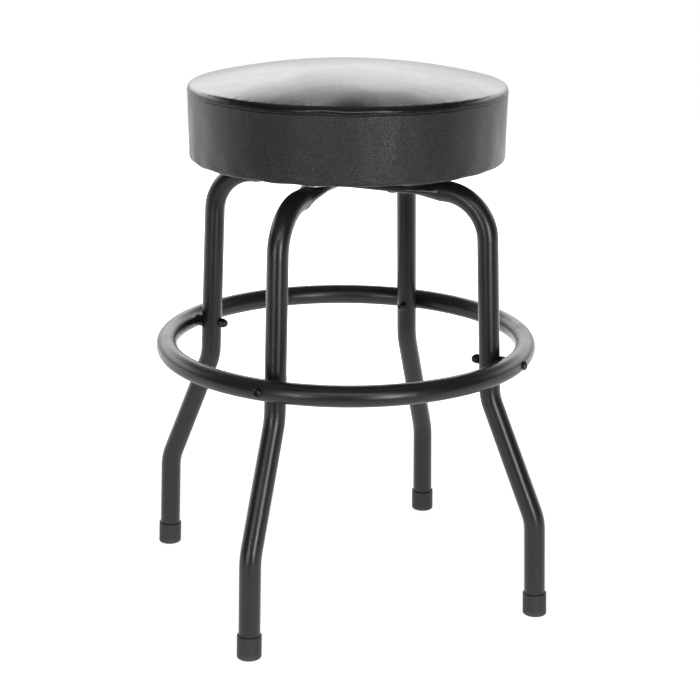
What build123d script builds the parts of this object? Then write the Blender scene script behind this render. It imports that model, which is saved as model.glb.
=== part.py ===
"""Round bar stool: padded seat on a ball-bearing swivel, two bent-tube leg frames and a foot ring.

Millimetres.  The origin is on the floor, on the swivel's axis; +Z is up.  The four legs stand on the
diagonals, and the swivel and seat are centred on Z.
"""
import os
from math import atan2, cos, degrees, pi, radians, sin, sqrt, tan

from build123d import *
from build123d.topology import SkipClean

os.makedirs("parts", exist_ok=True)

# ---- driving dimensions -------------------------------------------------------------------------
# Leg frames: one bent tube each, drawn as radius from the axis against height
TUBE_RADIUS = 11.8
TUBE_WALL = 1.5
FRAME_TOP = 491.8            # top of the level run, where the swivel's lower plate sits
CORNER_RADIAL = 168.1        # where the leg's line meets the level run's line
KNEE_HIGH = (178.4, 252.0)   # radius and height of the upper knee's corner
KNEE_LOW = (236.8, 113.0)
FOOT_RADIAL = 241.2          # radius of the leg's line at the floor
TOP_BEND = 52.0
KNEE_BEND = 60.0
FLAT_THICKNESS = 7.9         # height of the tube where its middle is pressed flat
PRESS_RUN = 36.0             # length over which round turns to flat
PRESS_TO_BEND = 4.4          # straight, round tube between that and the top bend
UPPER_HEADING = 45.0         # the frame pressed up against the plate
LOWER_HEADING = 135.0        # the frame that passes beneath it
BORE_OVERRUN = 5.0           # the tube's bore is drawn this far past the tube's end

# Foot ring, round the legs
RING_HEIGHT = 293.5
RING_GAP = 5.6               # between the ring's tube and a leg's, filled by a spacer
RING_WALL = 1.5
RING_BOLT_RADIUS = 3.0
RING_BOLT_HEAD = (5.25, 3.0)     # radius and height
RING_BOLT_ROUND = 2.2
RING_BOLT_SOCKET = 4.0       # across the flats
RING_BOLT_SOCKET_DEPTH = 1.8
RING_NUT_FLATS = 10.0
RING_NUT_HEIGHT = 5.0
RING_NUT_DOME = 4.2
NUT_DOME_STEP = 0.3          # the dome is this much smaller in radius than the flats
NUT_DOME_FLAT = 0.2          # left unrounded at the foot of the dome
SPACER_RADIUS = 7.0

# Foot caps
CAP_WALL = 1.7               # from the tube's surface to the cap's
CAP_HEIGHT = 26.0
CAP_SOLE = 3.0
CAP_LIP_ROUND = 0.9
CAP_SOLE_ROUND = 1.8

# Swivel: two pressed plates, a cage of balls between them, and a hollow rivet at the middle
PLATE_SIDE = 150.0
PLATE_CORNER = 14.0
PLATE_THICKNESS = 2.5
PLATE_GAP = 12.6             # between the flat stretches of the two plates
BALL_RADIUS = 4.0
BALL_COUNT = 16
RACE_RADIUS = 38.0
RACE_RIDGE = 4.3             # how far the race's ridge stands out of its plate
RACE_HALF_WIDTH = 8.0
CAGE_THICKNESS = 1.0
CAGE_HALF_WIDTH = 6.4
DISH_RADIUS = 20.0           # raised middle that makes room for the rivet's flange
DISH_RISE = 2.6
PRESSED_SLOPE = 1.5          # the sides of the ridge and the dish lean in by this much
PRESSED_OVERLAP = 0.5        # their sections start this far inside the sheet
RIVET_RADIUS = 10.0
RIVET_BORE_RADIUS = 8.2
RIVET_FLANGE_RADIUS = 16.0
RIVET_FLANGE_THICKNESS = 1.8
RIVET_ROUND = 1.0

# Fasteners of the swivel
FRAME_BOLT_RADIUS = 4.0
FRAME_BOLT_MARGIN = 2.5      # between a nut's corner and the race's ridge
FRAME_BOLT_HEAD = (7.0, 3.2)     # radius and height, under the frames
FRAME_BOLT_ROUND = 2.4
FRAME_BOLT_SOCKET = (5.0, 1.8)   # across the flats, and depth
FRAME_NUT_FLATS = 13.0
FRAME_WASHER = (8.0, 1.6)    # radius and thickness
FRAME_NUT_HEIGHT = 6.5
BOLT_TAIL = 2.0              # thread that shows past a nut
SEAT_BOLT_RADIUS = 3.0
SEAT_BOLT_INSET = 12.8       # from each side of the plate
SEAT_BOLT_HEAD = (6.0, 3.6)  # radius and height
SEAT_BOLT_ROUND = 1.4
DRIVE_CROSS = (6.4, 1.3)     # length and width of each arm pair of the recess
TEE_BARREL_RADIUS = 4.0
TEE_BARREL_LENGTH = 9.0
TEE_FLANGE = (9.5, 1.5)      # radius and thickness
THREAD_END_GAP = 2.0         # a seat bolt stops this far below the board's top

# Seat
SEAT_RADIUS = 177.0          # at the seam
SEAT_TAPER = 1.0             # the side band is this much smaller in radius at its foot
BOARD_THICKNESS = 12.0
BAND_HEIGHT = 75.0           # from the hem's underside to the seam
BAND_FOOT_ROUND = 3.0
CROWN_HEIGHT = 28.0          # from the seam to the top of the dome
SHOULDER_RADIUS = 6.0
VINYL = 1.1
HEM_WIDTH = 22.0             # band that turns in under the board
WELT_RADIUS = 1.2
DUST_COVER_THICKNESS = 0.8
CROWN_FOAM_SKIRT = 14.0      # how far the softer top foam reaches below the seam
STAPLE_COUNT = 28
STAPLE_CROWN = 10.0
STAPLE_WIRE = 0.6
STAPLE_LEG = 6.0

# Clearances
BOLT_CLEARANCE = 0.25        # radial, round every bolt
CAP_CLEARANCE = 0.1          # radial, rubber cap on its tube
SADDLE_CLEARANCE = 0.05      # spacer or nut against a round tube
RUNNING_CLEARANCE = 0.06     # balls in their races, rivet in its plate
CAGE_CLEARANCE = 0.25        # ball in its cage hole
SOFT_CLEARANCE = 0.3         # foam and vinyl from what is beside them
THREAD_CLEARANCE = 0.05

# ---- derived sizes ------------------------------------------------------------------------------
BAND_FOOT_RADIUS = SEAT_RADIUS - SEAT_TAPER
BOARD_RADIUS = BAND_FOOT_RADIUS - VINYL - SOFT_CLEARANCE
RUN_HEIGHT = FRAME_TOP - TUBE_RADIUS
UPPER_FLAT_MID = FRAME_TOP - FLAT_THICKNESS / 2
LOWER_FLAT_MID = UPPER_FLAT_MID - FLAT_THICKNESS
LOWER_PLATE_TOP = FRAME_TOP + PLATE_THICKNESS
UPPER_PLATE_BOTTOM = LOWER_PLATE_TOP + PLATE_GAP
PAD_BOTTOM = UPPER_PLATE_BOTTOM + PLATE_THICKNESS
RACE_DEPTH = RACE_RIDGE - PLATE_GAP / 2 + BALL_RADIUS + RUNNING_CLEARANCE
BALL_HEIGHT = (LOWER_PLATE_TOP + UPPER_PLATE_BOTTOM) / 2
BOARD_BOTTOM = PAD_BOTTOM + DUST_COVER_THICKNESS
BOARD_TOP = BOARD_BOTTOM + BOARD_THICKNESS
BAND_FOOT = BOARD_BOTTOM - VINYL
SEAM_HEIGHT = BAND_FOOT + BAND_HEIGHT
LEG_LEAN = atan2(KNEE_HIGH[0] - CORNER_RADIAL, RUN_HEIGHT - KNEE_HIGH[1])
LEG_RADIAL_AT_RING = KNEE_HIGH[0] - (RING_HEIGHT - KNEE_HIGH[1]) * (
    (KNEE_HIGH[0] - CORNER_RADIAL) / (RUN_HEIGHT - KNEE_HIGH[1]))
FOOT_LEAN = atan2(FOOT_RADIAL - KNEE_LOW[0], KNEE_LOW[1])
ROUND_END = CORNER_RADIAL - TOP_BEND * tan((pi / 2 - LEG_LEAN) / 2) - PRESS_TO_BEND
FLAT_REACH = ROUND_END - PRESS_RUN      # the pressed stretch runs this far each side of the axis
RING_RADIUS = LEG_RADIAL_AT_RING + 2 * TUBE_RADIUS + RING_GAP       # centreline
CAP_RADIUS = TUBE_RADIUS + CAP_WALL
FRAME_BOLT_CIRCLE = RACE_RADIUS + RACE_HALF_WIDTH + FRAME_BOLT_MARGIN + FRAME_NUT_FLATS / sqrt(3)
SEAT_BOLT_CIRCLE = (PLATE_SIDE / 2 - SEAT_BOLT_INSET) * sqrt(2)
LEG_HEADINGS = {"front_left": 225, "front_right": 315, "back_right": 45, "back_left": 135}


def save(piece, name):
    """Label a finished sub-part and write it as its own STEP file."""
    piece.label = name
    export_step(piece, f"parts/{name}.step")
    print(f"{name}: {len(piece.solids())} solids, {piece.volume / 1000:.2f} cm3")


def outward(heading):
    """Level unit vector from the axis towards a heading in degrees."""
    return Vector(cos(radians(heading)), sin(radians(heading)), 0)


def ring_plane(heading, distance, inward=False):
    """Plane square to a radius at the ring's height, facing outward or back towards the axis."""
    direction = outward(heading)
    return Plane(
        origin=direction * distance + Vector(0, 0, RING_HEIGHT),
        x_dir=(0, 0, 1),
        z_dir=direction * -1 if inward else direction,
    )


def foot_point(height):
    """Radius and height of the foot section's centreline at a height above the floor."""
    share = height / KNEE_LOW[1]
    return (FOOT_RADIAL + (KNEE_LOW[0] - FOOT_RADIAL) * share, height)


def tube_core(radius, half_height, flat_mid, tail):
    """One whole leg frame as a solid rod, along X: round legs, then pressed flat at the middle.

    half_height is half the pressed thickness, and tail lengthens the rod past the foot.
    """
    flat_half_width = pi * (radius - half_height) / 2
    foot = foot_point(CAP_SOLE - tail)
    with BuildPart() as core:
        with BuildLine(Plane.XZ) as route:
            FilletPolyline(
                foot, KNEE_LOW, KNEE_HIGH, (CORNER_RADIAL, RUN_HEIGHT), (ROUND_END, RUN_HEIGHT),
                radius=[KNEE_BEND, KNEE_BEND, TOP_BEND],
            )
        with BuildSketch(Plane(origin=route.line @ 0, z_dir=route.line % 0)):
            Circle(radius)
        sweep(path=route.line)
        # Round to flat: each quarter of the circle turns into a side or an end of the flat
        with BuildSketch(Plane.YZ.offset(ROUND_END)):
            with BuildLine():
                step = radius * sqrt(0.5)
                rise = RUN_HEIGHT
                ThreePointArc((-step, rise + step), (0, rise + radius), (step, rise + step))
                ThreePointArc((step, rise + step), (radius, rise), (step, rise - step))
                ThreePointArc((step, rise - step), (0, rise - radius), (-step, rise - step))
                ThreePointArc((-step, rise - step), (-radius, rise), (-step, rise + step))
            make_face()
        for reach in (FLAT_REACH, -FLAT_REACH):
            with BuildSketch(Plane.YZ.offset(reach)) as flat:
                with BuildLine():
                    wide = flat_half_width
                    top = flat_mid + half_height
                    low = flat_mid - half_height
                    Line((-wide, top), (wide, top))
                    ThreePointArc((wide, top), (wide + half_height, flat_mid), (wide, low))
                    Line((wide, low), (-wide, low))
                    ThreePointArc((-wide, low), (-wide - half_height, flat_mid), (-wide, top))
                make_face()
            if reach > 0:
                loft()
        mirror(about=Plane.YZ)
        extrude(amount=2 * FLAT_REACH)
    return core.part


def leg_frame(heading, flat_mid):
    """A leg frame's tube, hollow from foot to foot, with its bolt holes, turned to its heading."""
    outer = tube_core(TUBE_RADIUS, FLAT_THICKNESS / 2, flat_mid, 0)
    inner = tube_core(TUBE_RADIUS - TUBE_WALL, FLAT_THICKNESS / 2 - TUBE_WALL, flat_mid, BORE_OVERRUN)
    with BuildPart() as frame:
        add(outer)
        add(inner, mode=Mode.SUBTRACT)
        with BuildSketch(Plane.XY.offset(flat_mid)):
            with Locations((FRAME_BOLT_CIRCLE, 0), (-FRAME_BOLT_CIRCLE, 0)):
                Circle(FRAME_BOLT_RADIUS + BOLT_CLEARANCE)
        extrude(amount=FLAT_THICKNESS, both=True, mode=Mode.SUBTRACT)
        with BuildSketch(Plane.YZ):
            with Locations((0, RING_HEIGHT)):
                Circle(RING_BOLT_RADIUS + BOLT_CLEARANCE)
        extrude(amount=RING_RADIUS, both=True, mode=Mode.SUBTRACT)
    return frame.part.rotate(Axis.Z, heading)


upper_leg_frame = leg_frame(UPPER_HEADING, UPPER_FLAT_MID)
save(upper_leg_frame, "upper_leg_frame")
lower_leg_frame = leg_frame(LOWER_HEADING, LOWER_FLAT_MID)
save(lower_leg_frame, "lower_leg_frame")


# ---- foot caps: rubber thimbles in line with the lowest stretch of each leg ----------------------
def foot_cap(heading):
    """A cap round the tube's end, cut level where it meets the floor."""
    up_the_leg = Vector(0, 0, cos(FOOT_LEAN)) - outward(heading) * sin(FOOT_LEAN)
    foot = outward(heading) * FOOT_RADIAL
    below = Plane(origin=foot - up_the_leg * CAP_SOLE, z_dir=up_the_leg)
    tube_end = Plane(origin=foot + up_the_leg * CAP_SOLE, z_dir=up_the_leg)
    with BuildPart() as cap:
        with BuildSketch(below):
            Circle(CAP_RADIUS)
        extrude(amount=CAP_SOLE + CAP_HEIGHT)
        fillet(cap.edges().sort_by(Axis.Z)[-1], CAP_LIP_ROUND)
        with BuildSketch(tube_end):
            Circle(TUBE_RADIUS + CAP_CLEARANCE)
        extrude(amount=CAP_HEIGHT, mode=Mode.SUBTRACT)
        split(bisect_by=Plane.XY)
        fillet(cap.faces().sort_by(Axis.Z)[0].edges(), CAP_SOLE_ROUND)
    return cap.part


for corner, heading in LEG_HEADINGS.items():
    save(foot_cap(heading), f"{corner}_foot_cap")

# ---- foot ring and what holds it to the legs -----------------------------------------------------
# A quarter of the ring carries one bolt hole.  The quarters are joined with the faces left split,
# because merging them back into one torus would close the holes.
with BuildPart() as ring_quarter:
    with BuildSketch(Plane.XZ):
        with Locations((RING_RADIUS, RING_HEIGHT)):
            Circle(TUBE_RADIUS)
            Circle(TUBE_RADIUS - RING_WALL, mode=Mode.SUBTRACT)
    revolve(axis=Axis.Z, revolution_arc=90, clean=False)
    with BuildSketch(ring_plane(LEG_HEADINGS["back_right"], LEG_RADIAL_AT_RING)):
        Circle(RING_BOLT_RADIUS + BOLT_CLEARANCE)
    extrude(amount=2 * (RING_RADIUS - LEG_RADIAL_AT_RING), mode=Mode.SUBTRACT, clean=False)

with SkipClean():
    with BuildPart() as foot_ring:
        for turn in (0, 90, 180, 270):
            add(ring_quarter.part.rotate(Axis.Z, turn), clean=False)
save(foot_ring.part, "foot_ring")

with BuildPart() as ring_room:
    with Locations((0, 0, RING_HEIGHT)):
        Torus(RING_RADIUS, TUBE_RADIUS + SADDLE_CLEARANCE)

with BuildPart() as leg_room:
    for heading in LEG_HEADINGS.values():
        up_the_leg = Vector(0, 0, cos(LEG_LEAN)) - outward(heading) * sin(LEG_LEAN)
        at_ring = ring_plane(heading, LEG_RADIAL_AT_RING).origin
        with BuildSketch(Plane(origin=at_ring, z_dir=up_the_leg)):
            Circle(TUBE_RADIUS + SADDLE_CLEARANCE)
        extrude(amount=2 * SPACER_RADIUS, both=True)

# Saddle spacers fill the gap between each leg and the ring, so they are hollow on both ends
with BuildPart() as ring_spacers:
    for heading in LEG_HEADINGS.values():
        with BuildSketch(ring_plane(heading, LEG_RADIAL_AT_RING)):
            Circle(SPACER_RADIUS)
            Circle(RING_BOLT_RADIUS + BOLT_CLEARANCE, mode=Mode.SUBTRACT)
        extrude(amount=RING_RADIUS - LEG_RADIAL_AT_RING)
    add(ring_room.part, mode=Mode.SUBTRACT)
    add(leg_room.part, mode=Mode.SUBTRACT)
save(ring_spacers.part, "ring_spacers")

ring_bolt_seat = RING_RADIUS + TUBE_RADIUS
nut_seat = LEG_RADIAL_AT_RING - TUBE_RADIUS

# Button-head bolts with hexagon sockets, heads outside the ring
with BuildPart() as ring_bolts:
    for heading in LEG_HEADINGS.values():
        head_radius, head_height = RING_BOLT_HEAD
        head_top = ring_plane(heading, ring_bolt_seat + head_height)
        with BuildSketch(ring_plane(heading, ring_bolt_seat)):
            Circle(head_radius)
        extrude(amount=head_height)
        rim = ring_bolts.edges().filter_by(GeomType.CIRCLE).sort_by_distance(head_top.origin)[0]
        fillet(rim, RING_BOLT_ROUND)
        with BuildSketch(head_top):
            RegularPolygon(RING_BOLT_SOCKET / 2, 6, major_radius=False)
        extrude(amount=-RING_BOLT_SOCKET_DEPTH, mode=Mode.SUBTRACT)
        with BuildSketch(ring_plane(heading, nut_seat - RING_NUT_HEIGHT)):
            Circle(RING_BOLT_RADIUS)
        extrude(amount=ring_bolt_seat - nut_seat + RING_NUT_HEIGHT)
save(ring_bolts.part, "ring_bolts")

# Domed nuts on the inner side of each leg
with BuildPart() as ring_cap_nuts:
    for heading in LEG_HEADINGS.values():
        facing_in = ring_plane(heading, nut_seat, inward=True)
        with BuildSketch(facing_in):
            RegularPolygon(RING_NUT_FLATS / 2, 6, major_radius=False)
        extrude(amount=RING_NUT_HEIGHT)
        with BuildSketch(facing_in.offset(RING_NUT_HEIGHT)):
            Circle(RING_NUT_FLATS / 2 - NUT_DOME_STEP)
        extrude(amount=RING_NUT_DOME)
        dome_top = facing_in.offset(RING_NUT_HEIGHT + RING_NUT_DOME).origin
        rim = ring_cap_nuts.edges().filter_by(GeomType.CIRCLE).sort_by_distance(dome_top)[0]
        fillet(rim, RING_NUT_DOME - NUT_DOME_FLAT)
        with BuildSketch(facing_in):
            Circle(RING_BOLT_RADIUS + THREAD_CLEARANCE)
        extrude(amount=RING_NUT_HEIGHT + THREAD_CLEARANCE, mode=Mode.SUBTRACT)
    add(leg_room.part, mode=Mode.SUBTRACT)
save(ring_cap_nuts.part, "ring_cap_nuts")


# ---- swivel --------------------------------------------------------------------------------------
def swivel_plate():
    """Lower plate: a square sheet with a grooved ridge for the balls and a dished middle.

    It is made at the lower plate's own height.  The upper plate is the same pressing turned over.
    """
    face = LOWER_PLATE_TOP
    underside = face - PLATE_THICKNESS
    ridge_in = RACE_RADIUS - RACE_HALF_WIDTH
    ridge_out = RACE_RADIUS + RACE_HALF_WIDTH
    ridge_top = face + RACE_RIDGE
    slope = PRESSED_SLOPE
    root = face - PRESSED_OVERLAP
    with BuildPart() as plate:
        with BuildSketch(Plane.XY.offset(underside)):
            RectangleRounded(PLATE_SIDE, PLATE_SIDE, PLATE_CORNER)
        extrude(amount=PLATE_THICKNESS)
        with BuildSketch(Plane.XZ):
            Polygon(
                (ridge_in, root), (ridge_in + slope, ridge_top),
                (ridge_out - slope, ridge_top), (ridge_out, root), align=None,
            )
            Polygon(
                (0, root), (0, face + DISH_RISE),
                (DISH_RADIUS - slope, face + DISH_RISE), (DISH_RADIUS, root), align=None,
            )
        revolve(axis=Axis.Z)
        with BuildSketch(Plane.XZ):
            hollow_top = ridge_top - PLATE_THICKNESS - RACE_DEPTH
            hollow_in = ridge_in + PLATE_THICKNESS
            hollow_out = ridge_out - PLATE_THICKNESS
            Polygon(
                (hollow_in, underside), (hollow_in + slope / 2, hollow_top),
                (hollow_out - slope / 2, hollow_top), (hollow_out, underside), align=None,
            )
            dish_top = underside + DISH_RISE
            Polygon(
                (0, underside), (0, dish_top),
                (DISH_RADIUS - PLATE_THICKNESS, dish_top),
                (DISH_RADIUS - PLATE_THICKNESS + slope, underside), align=None,
            )
        revolve(axis=Axis.Z, mode=Mode.SUBTRACT)
        with Locations((0, 0, BALL_HEIGHT)):
            Torus(RACE_RADIUS, BALL_RADIUS + RUNNING_CLEARANCE, mode=Mode.SUBTRACT)
        with BuildSketch(Plane.XY.offset(underside)):
            Circle(RIVET_RADIUS + RUNNING_CLEARANCE)
        extrude(amount=2 * PLATE_THICKNESS + DISH_RISE, mode=Mode.SUBTRACT)
    return plate.part


with BuildPart() as swivel_bottom_plate:
    add(swivel_plate())
    with BuildSketch(Plane.XY.offset(FRAME_TOP)):
        with PolarLocations(FRAME_BOLT_CIRCLE, 4, start_angle=UPPER_HEADING):
            Circle(FRAME_BOLT_RADIUS + BOLT_CLEARANCE)
    extrude(amount=PLATE_THICKNESS, mode=Mode.SUBTRACT)
save(swivel_bottom_plate.part, "swivel_bottom_plate")

with BuildPart() as swivel_top_plate:
    add(swivel_plate().mirror(Plane.XY.offset(BALL_HEIGHT)))
    with BuildSketch(Plane.XY.offset(UPPER_PLATE_BOTTOM)):
        with PolarLocations(SEAT_BOLT_CIRCLE, 4, start_angle=UPPER_HEADING):
            Circle(SEAT_BOLT_RADIUS + BOLT_CLEARANCE)
    extrude(amount=PLATE_THICKNESS, mode=Mode.SUBTRACT)
save(swivel_top_plate.part, "swivel_top_plate")

with BuildPart() as bearing_balls:
    with Locations((0, 0, BALL_HEIGHT)):
        with PolarLocations(RACE_RADIUS, BALL_COUNT):
            Sphere(BALL_RADIUS)
save(bearing_balls.part, "bearing_balls")

with BuildPart() as ball_cage:
    with BuildSketch(Plane.XY.offset(BALL_HEIGHT - CAGE_THICKNESS / 2)):
        Circle(RACE_RADIUS + CAGE_HALF_WIDTH)
        Circle(RACE_RADIUS - CAGE_HALF_WIDTH, mode=Mode.SUBTRACT)
        with PolarLocations(RACE_RADIUS, BALL_COUNT):
            Circle(BALL_RADIUS + CAGE_CLEARANCE, mode=Mode.SUBTRACT)
    extrude(amount=CAGE_THICKNESS)
save(ball_cage.part, "ball_cage")

# Hollow rivet: a flange under the lower plate's dish, and one rolled over the upper plate's
lower_flange_top = LOWER_PLATE_TOP - PLATE_THICKNESS + DISH_RISE
upper_flange_bottom = 2 * BALL_HEIGHT - lower_flange_top + RUNNING_CLEARANCE
with BuildPart() as swivel_rivet:
    with BuildSketch(Plane.XY.offset(lower_flange_top - RIVET_FLANGE_THICKNESS)):
        Circle(RIVET_FLANGE_RADIUS)
    extrude(amount=RIVET_FLANGE_THICKNESS)
    with BuildSketch(Plane.XY.offset(lower_flange_top)):
        Circle(RIVET_RADIUS)
    extrude(amount=upper_flange_bottom - lower_flange_top)
    with BuildSketch(Plane.XY.offset(upper_flange_bottom)):
        Circle(RIVET_FLANGE_RADIUS)
    extrude(amount=RIVET_FLANGE_THICKNESS)
    fillet(swivel_rivet.edges().filter_by(GeomType.CIRCLE).sort_by(Axis.Z)[-1], RIVET_ROUND)
    with BuildSketch(Plane.XY.offset(lower_flange_top - RIVET_FLANGE_THICKNESS)):
        Circle(RIVET_BORE_RADIUS)
    extrude(amount=PLATE_GAP + 2 * PLATE_THICKNESS, mode=Mode.SUBTRACT)
save(swivel_rivet.part, "swivel_rivet")


# ---- bolts through the plate and the leg frames --------------------------------------------------
FRAME_BOLTS = [
    (heading + side, flat_mid - FLAT_THICKNESS / 2)
    for heading, flat_mid in ((UPPER_HEADING, UPPER_FLAT_MID), (LOWER_HEADING, LOWER_FLAT_MID))
    for side in (0, 180)
]


def level_plane(heading, height):
    """Level plane centred over a frame bolt."""
    spot = outward(heading) * FRAME_BOLT_CIRCLE
    return Plane(origin=(spot.X, spot.Y, height), x_dir=outward(heading))


washer_radius, washer_thickness = FRAME_WASHER

# The lower frame passes under the upper one, so its bolts go through spacers as thick as a flat
with BuildPart() as frame_spacers:
    for heading in (LOWER_HEADING, LOWER_HEADING + 180):
        with BuildSketch(level_plane(heading, FRAME_TOP - FLAT_THICKNESS)):
            Circle(washer_radius)
            Circle(FRAME_BOLT_RADIUS + BOLT_CLEARANCE, mode=Mode.SUBTRACT)
        extrude(amount=FLAT_THICKNESS)
save(frame_spacers.part, "frame_spacers")

frame_head_radius, frame_head_height = FRAME_BOLT_HEAD
frame_socket_flats, frame_socket_depth = FRAME_BOLT_SOCKET
frame_nut_seat = LOWER_PLATE_TOP + washer_thickness
frame_bolt_end = frame_nut_seat + FRAME_NUT_HEIGHT + BOLT_TAIL

# Button heads are under the frames, and the nuts are on the lower plate, where they can't be seen
with BuildPart() as frame_bolts:
    for heading, underside in FRAME_BOLTS:
        head_face = level_plane(heading, underside - frame_head_height)
        with BuildSketch(head_face):
            Circle(frame_head_radius)
        extrude(amount=frame_head_height)
        rim = frame_bolts.edges().filter_by(GeomType.CIRCLE).sort_by_distance(head_face.origin)[0]
        fillet(rim, FRAME_BOLT_ROUND)
        with BuildSketch(head_face):
            RegularPolygon(frame_socket_flats / 2, 6, major_radius=False)
        extrude(amount=frame_socket_depth, mode=Mode.SUBTRACT)
        with BuildSketch(level_plane(heading, underside)):
            Circle(FRAME_BOLT_RADIUS)
        extrude(amount=frame_bolt_end - underside)
save(frame_bolts.part, "frame_bolts")

with BuildPart() as frame_washers:
    for heading, _ in FRAME_BOLTS:
        with BuildSketch(level_plane(heading, LOWER_PLATE_TOP)):
            Circle(washer_radius)
            Circle(FRAME_BOLT_RADIUS + BOLT_CLEARANCE, mode=Mode.SUBTRACT)
        extrude(amount=washer_thickness)
save(frame_washers.part, "frame_washers")

with BuildPart() as frame_nuts:
    for heading, _ in FRAME_BOLTS:
        with BuildSketch(level_plane(heading, frame_nut_seat)):
            RegularPolygon(FRAME_NUT_FLATS / 2, 6, major_radius=False)
            Circle(FRAME_BOLT_RADIUS + THREAD_CLEARANCE, mode=Mode.SUBTRACT)
        extrude(amount=FRAME_NUT_HEIGHT)
save(frame_nuts.part, "frame_nuts")

# ---- seat board and what fastens it to the upper plate -------------------------------------------
tee_flange_radius, tee_flange_thickness = TEE_FLANGE
seat_bolt_head_radius, seat_bolt_head_height = SEAT_BOLT_HEAD
drive_length, drive_width = DRIVE_CROSS
SEAT_BOLT_SPOTS = PolarLocations(SEAT_BOLT_CIRCLE, 4, start_angle=UPPER_HEADING)

with BuildPart() as seat_board:
    with BuildSketch(Plane.XY.offset(BOARD_BOTTOM)):
        Circle(BOARD_RADIUS)
    extrude(amount=BOARD_THICKNESS)
    fillet(seat_board.faces().sort_by(Axis.Z)[0].edges(), BAND_FOOT_ROUND)
    with BuildSketch(Plane.XY.offset(BOARD_BOTTOM)):
        with SEAT_BOLT_SPOTS:
            Circle(TEE_BARREL_RADIUS + THREAD_CLEARANCE)
    extrude(amount=BOARD_THICKNESS, mode=Mode.SUBTRACT)
    with BuildSketch(Plane.XY.offset(BOARD_TOP)):
        with SEAT_BOLT_SPOTS:
            Circle(tee_flange_radius + BOLT_CLEARANCE)
    extrude(amount=-tee_flange_thickness, mode=Mode.SUBTRACT)
save(seat_board.part, "seat_board")

with BuildPart() as board_tee_nuts:
    with BuildSketch(Plane.XY.offset(BOARD_TOP)):
        with SEAT_BOLT_SPOTS:
            Circle(tee_flange_radius)
    extrude(amount=-tee_flange_thickness)
    with BuildSketch(Plane.XY.offset(BOARD_TOP)):
        with SEAT_BOLT_SPOTS:
            Circle(TEE_BARREL_RADIUS)
    extrude(amount=-TEE_BARREL_LENGTH)
    with BuildSketch(Plane.XY.offset(BOARD_TOP)):
        with SEAT_BOLT_SPOTS:
            Circle(SEAT_BOLT_RADIUS + THREAD_CLEARANCE)
    extrude(amount=-TEE_BARREL_LENGTH, mode=Mode.SUBTRACT)
save(board_tee_nuts.part, "board_tee_nuts")

with BuildPart() as top_plate_bolts:
    with BuildSketch(Plane.XY.offset(UPPER_PLATE_BOTTOM)):
        with SEAT_BOLT_SPOTS:
            Circle(seat_bolt_head_radius)
    extrude(amount=-seat_bolt_head_height)
    fillet(top_plate_bolts.faces().filter_by(Plane.XY).group_by(Axis.Z)[0].edges(), SEAT_BOLT_ROUND)
    with BuildSketch(Plane.XY.offset(UPPER_PLATE_BOTTOM - seat_bolt_head_height)):
        with SEAT_BOLT_SPOTS:
            Rectangle(drive_length, drive_width)
            Rectangle(drive_width, drive_length)
    extrude(amount=seat_bolt_head_height / 2, mode=Mode.SUBTRACT)
    with BuildSketch(Plane.XY.offset(UPPER_PLATE_BOTTOM)):
        with SEAT_BOLT_SPOTS:
            Circle(SEAT_BOLT_RADIUS)
    extrude(amount=BOARD_TOP - THREAD_END_GAP - UPPER_PLATE_BOTTOM)
save(top_plate_bolts.part, "top_plate_bolts")

with BuildPart() as dust_cover:
    with BuildSketch(Plane.XY.offset(PAD_BOTTOM)):
        Circle(BOARD_RADIUS - HEM_WIDTH - SOFT_CLEARANCE)
        with SEAT_BOLT_SPOTS:
            Circle(SEAT_BOLT_RADIUS + BOLT_CLEARANCE, mode=Mode.SUBTRACT)
    extrude(amount=DUST_COVER_THICKNESS)
save(dust_cover.part, "dust_cover")

# ---- cushion: base foam, crown foam, and a cover of three sewn pieces ----------------------------
hem_inner = BOARD_RADIUS - HEM_WIDTH
round_top = BAND_FOOT + BAND_FOOT_ROUND
round_start = BAND_FOOT_RADIUS - BAND_FOOT_ROUND
band_top = SEAM_HEIGHT - WELT_RADIUS

with BuildPart() as seat_side_band:
    with BuildSketch(Plane.XZ):
        with BuildLine():
            Line((hem_inner, BAND_FOOT), (round_start, BAND_FOOT))
            CenterArc((round_start, round_top), BAND_FOOT_ROUND, -90, 90)
            Line((BAND_FOOT_RADIUS, round_top), (SEAT_RADIUS, band_top))
            Line((SEAT_RADIUS, band_top), (SEAT_RADIUS - VINYL, band_top))
            Line((SEAT_RADIUS - VINYL, band_top), (BAND_FOOT_RADIUS - VINYL, round_top))
            CenterArc((round_start, round_top), BAND_FOOT_ROUND - VINYL, -90, 90)
            Line((round_start, BOARD_BOTTOM), (hem_inner, BOARD_BOTTOM))
            Line((hem_inner, BOARD_BOTTOM), (hem_inner, BAND_FOOT))
        make_face()
    revolve(axis=Axis.Z)
save(seat_side_band.part, "seat_side_band")

with BuildPart() as seat_welt:
    with Locations((0, 0, SEAM_HEIGHT)):
        Torus(SEAT_RADIUS - WELT_RADIUS / 2, WELT_RADIUS)
save(seat_welt.part, "seat_welt")

# The dome is one large arc that runs into a small one at the shoulder, where it meets the seam
shoulder_centre = (SEAT_RADIUS - SHOULDER_RADIUS, SEAM_HEIGHT + WELT_RADIUS)
rise = CROWN_HEIGHT - WELT_RADIUS
dome_radius = (shoulder_centre[0] ** 2 + rise ** 2 - SHOULDER_RADIUS ** 2) / (
    2 * (rise - SHOULDER_RADIUS))
dome_centre = (0, shoulder_centre[1] + rise - dome_radius)
shoulder_sweep = degrees(atan2(shoulder_centre[1] - dome_centre[1], shoulder_centre[0]))


def dome_line(inset):
    """The dome's outline from the seam to the axis, moved inward by a thickness."""
    CenterArc(shoulder_centre, SHOULDER_RADIUS - inset, 0, shoulder_sweep)
    CenterArc(dome_centre, dome_radius - inset, shoulder_sweep, 90 - shoulder_sweep)


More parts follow.
